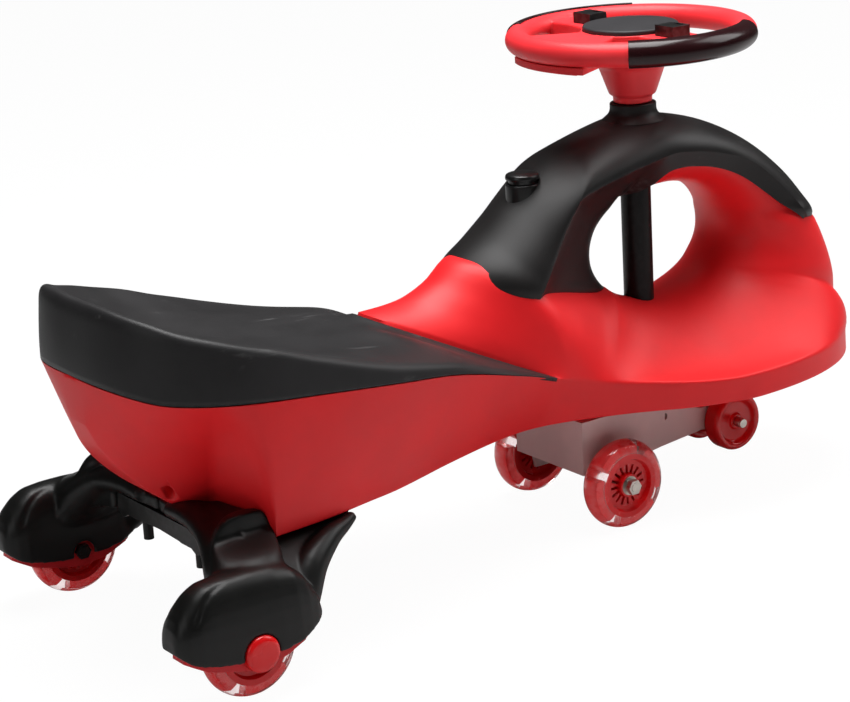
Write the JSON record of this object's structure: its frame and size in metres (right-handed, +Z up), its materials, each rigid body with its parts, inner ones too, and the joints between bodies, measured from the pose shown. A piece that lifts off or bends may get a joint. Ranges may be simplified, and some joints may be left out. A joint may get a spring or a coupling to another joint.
{
  "type": "ride-on wiggle car",
  "caption": "Low ride-on toy: moulded body with seat and arched front, a steering wheel on a column through the arch, and a swinging wheeled carriage underneath that drives it along.",
  "frame": {"origin": "bottom centre of the bounding box, on the floor", "axes": "+X forward, +Y to the rider's left, +Z up"},
  "size_m": [0.7476, 0.317, 0.4075],
  "materials": {
    "red_shell": "satin blow-moulded polyethylene",
    "red_plastic": "glossy moulded plastic",
    "wheel_red": "satin moulded plastic",
    "seat_black": "fine grain",
    "cover_black": "satin",
    "frame_black": "satin",
    "trim_black": "satin",
    "grip_gloss": "polished",
    "tyre_clear": "clear polyurethane",
    "carriage_grey": "satin moulded plastic",
    "column_black": "black paint",
    "steel": "zinc plated"
  },
  "bodies": {
    "chassis": {"body_shell": "red_shell", "seat_cover": "seat_black", "arch_cover": "cover_black", "upper_bush": "trim_black", "lower_bush": "trim_black", "bush_screws": "steel", "horn_bezel": "trim_black", "horn_spring": "steel", "rear_frame": "frame_black", "frame_screws": "steel", "fender_left": "frame_black", "fender_right": "frame_black", "liner_left": "red_plastic", "liner_right": "red_plastic", "rear_axle_left": "steel", "rear_axle_right": "steel", "axle_cap_left": "red_plastic", "axle_cap_right": "red_plastic"},
    "steering": {"column": "column_black", "steering_wheel": "wheel_red", "grip_left": "grip_gloss", "grip_right": "grip_gloss", "centre_pad": "trim_black", "battery_box": "wheel_red", "battery_lid": "wheel_red", "wheel_screws": "steel", "carriage": "carriage_grey", "king_bolt": "steel", "front_axle": "steel", "front_nuts": "steel", "guide_axle": "steel", "guide_nuts": "steel"},
    "front_wheel_left": {"front_tyre_left": "tyre_clear", "front_core_left": "red_plastic", "front_bearings_left": "steel"},
    "front_wheel_right": {"front_tyre_right": "tyre_clear", "front_core_right": "red_plastic", "front_bearings_right": "steel"},
    "rear_wheel_left": {"rear_tyre_left": "tyre_clear", "rear_core_left": "red_plastic", "rear_bearings_left": "steel"},
    "rear_wheel_right": {"rear_tyre_right": "tyre_clear", "rear_core_right": "red_plastic", "rear_bearings_right": "steel"},
    "guide_left": {"guide_wheel_left": "red_plastic"},
    "guide_right": {"guide_wheel_right": "red_plastic"},
    "horn": {"horn_button": "trim_black"},
    "sound_left": {"sound_button_left": "trim_black"},
    "sound_right": {"sound_button_right": "trim_black"}
  },
  "joints": [
    {"name": "steering_turn", "type": "hinge", "parent": "chassis", "child": "steering", "pos_m": [0.17275, 0, 0.2], "axis": [0, 0, 1], "continuous": true},
    {"name": "front_left_spin", "type": "hinge", "parent": "steering", "child": "front_wheel_left", "pos_m": [0.09825, 0.061, 0.0375], "axis": [0, 1, 0], "continuous": true},
    {"name": "front_right_spin", "type": "hinge", "parent": "steering", "child": "front_wheel_right", "pos_m": [0.09825, -0.061, 0.0375], "axis": [0, 1, 0], "continuous": true},
    {"name": "rear_left_spin", "type": "hinge", "parent": "chassis", "child": "rear_wheel_left", "pos_m": [-0.31025, 0.134, 0.0375], "axis": [0, 1, 0], "continuous": true},
    {"name": "rear_right_spin", "type": "hinge", "parent": "chassis", "child": "rear_wheel_right", "pos_m": [-0.31025, -0.134, 0.0375], "axis": [0, 1, 0], "continuous": true},
    {"name": "guide_left_spin", "type": "hinge", "parent": "steering", "child": "guide_left", "pos_m": [0.25535, 0.0215, 0.0456], "axis": [0, 1, 0], "continuous": true},
    {"name": "guide_right_spin", "type": "hinge", "parent": "steering", "child": "guide_right", "pos_m": [0.25535, -0.0215, 0.0456], "axis": [0, 1, 0], "continuous": true},
    {"name": "horn_push", "type": "slide", "parent": "chassis", "child": "horn", "axis": [0, 0, -1], "range_m": [0, 0.003], "stiffness_N_per_m": 600, "springref_m": -0.002, "deforming": ["horn_spring"]},
    {"name": "sound_left_push", "type": "slide", "parent": "steering", "child": "sound_left", "axis": [0, 0, -1], "range_m": [0, 0.0015], "stiffness_N_per_m": 400, "springref_m": -0.001},
    {"name": "sound_right_push", "type": "slide", "parent": "steering", "child": "sound_right", "axis": [0, 0, -1], "range_m": [0, 0.0015], "stiffness_N_per_m": 400, "springref_m": -0.001}
  ]
}
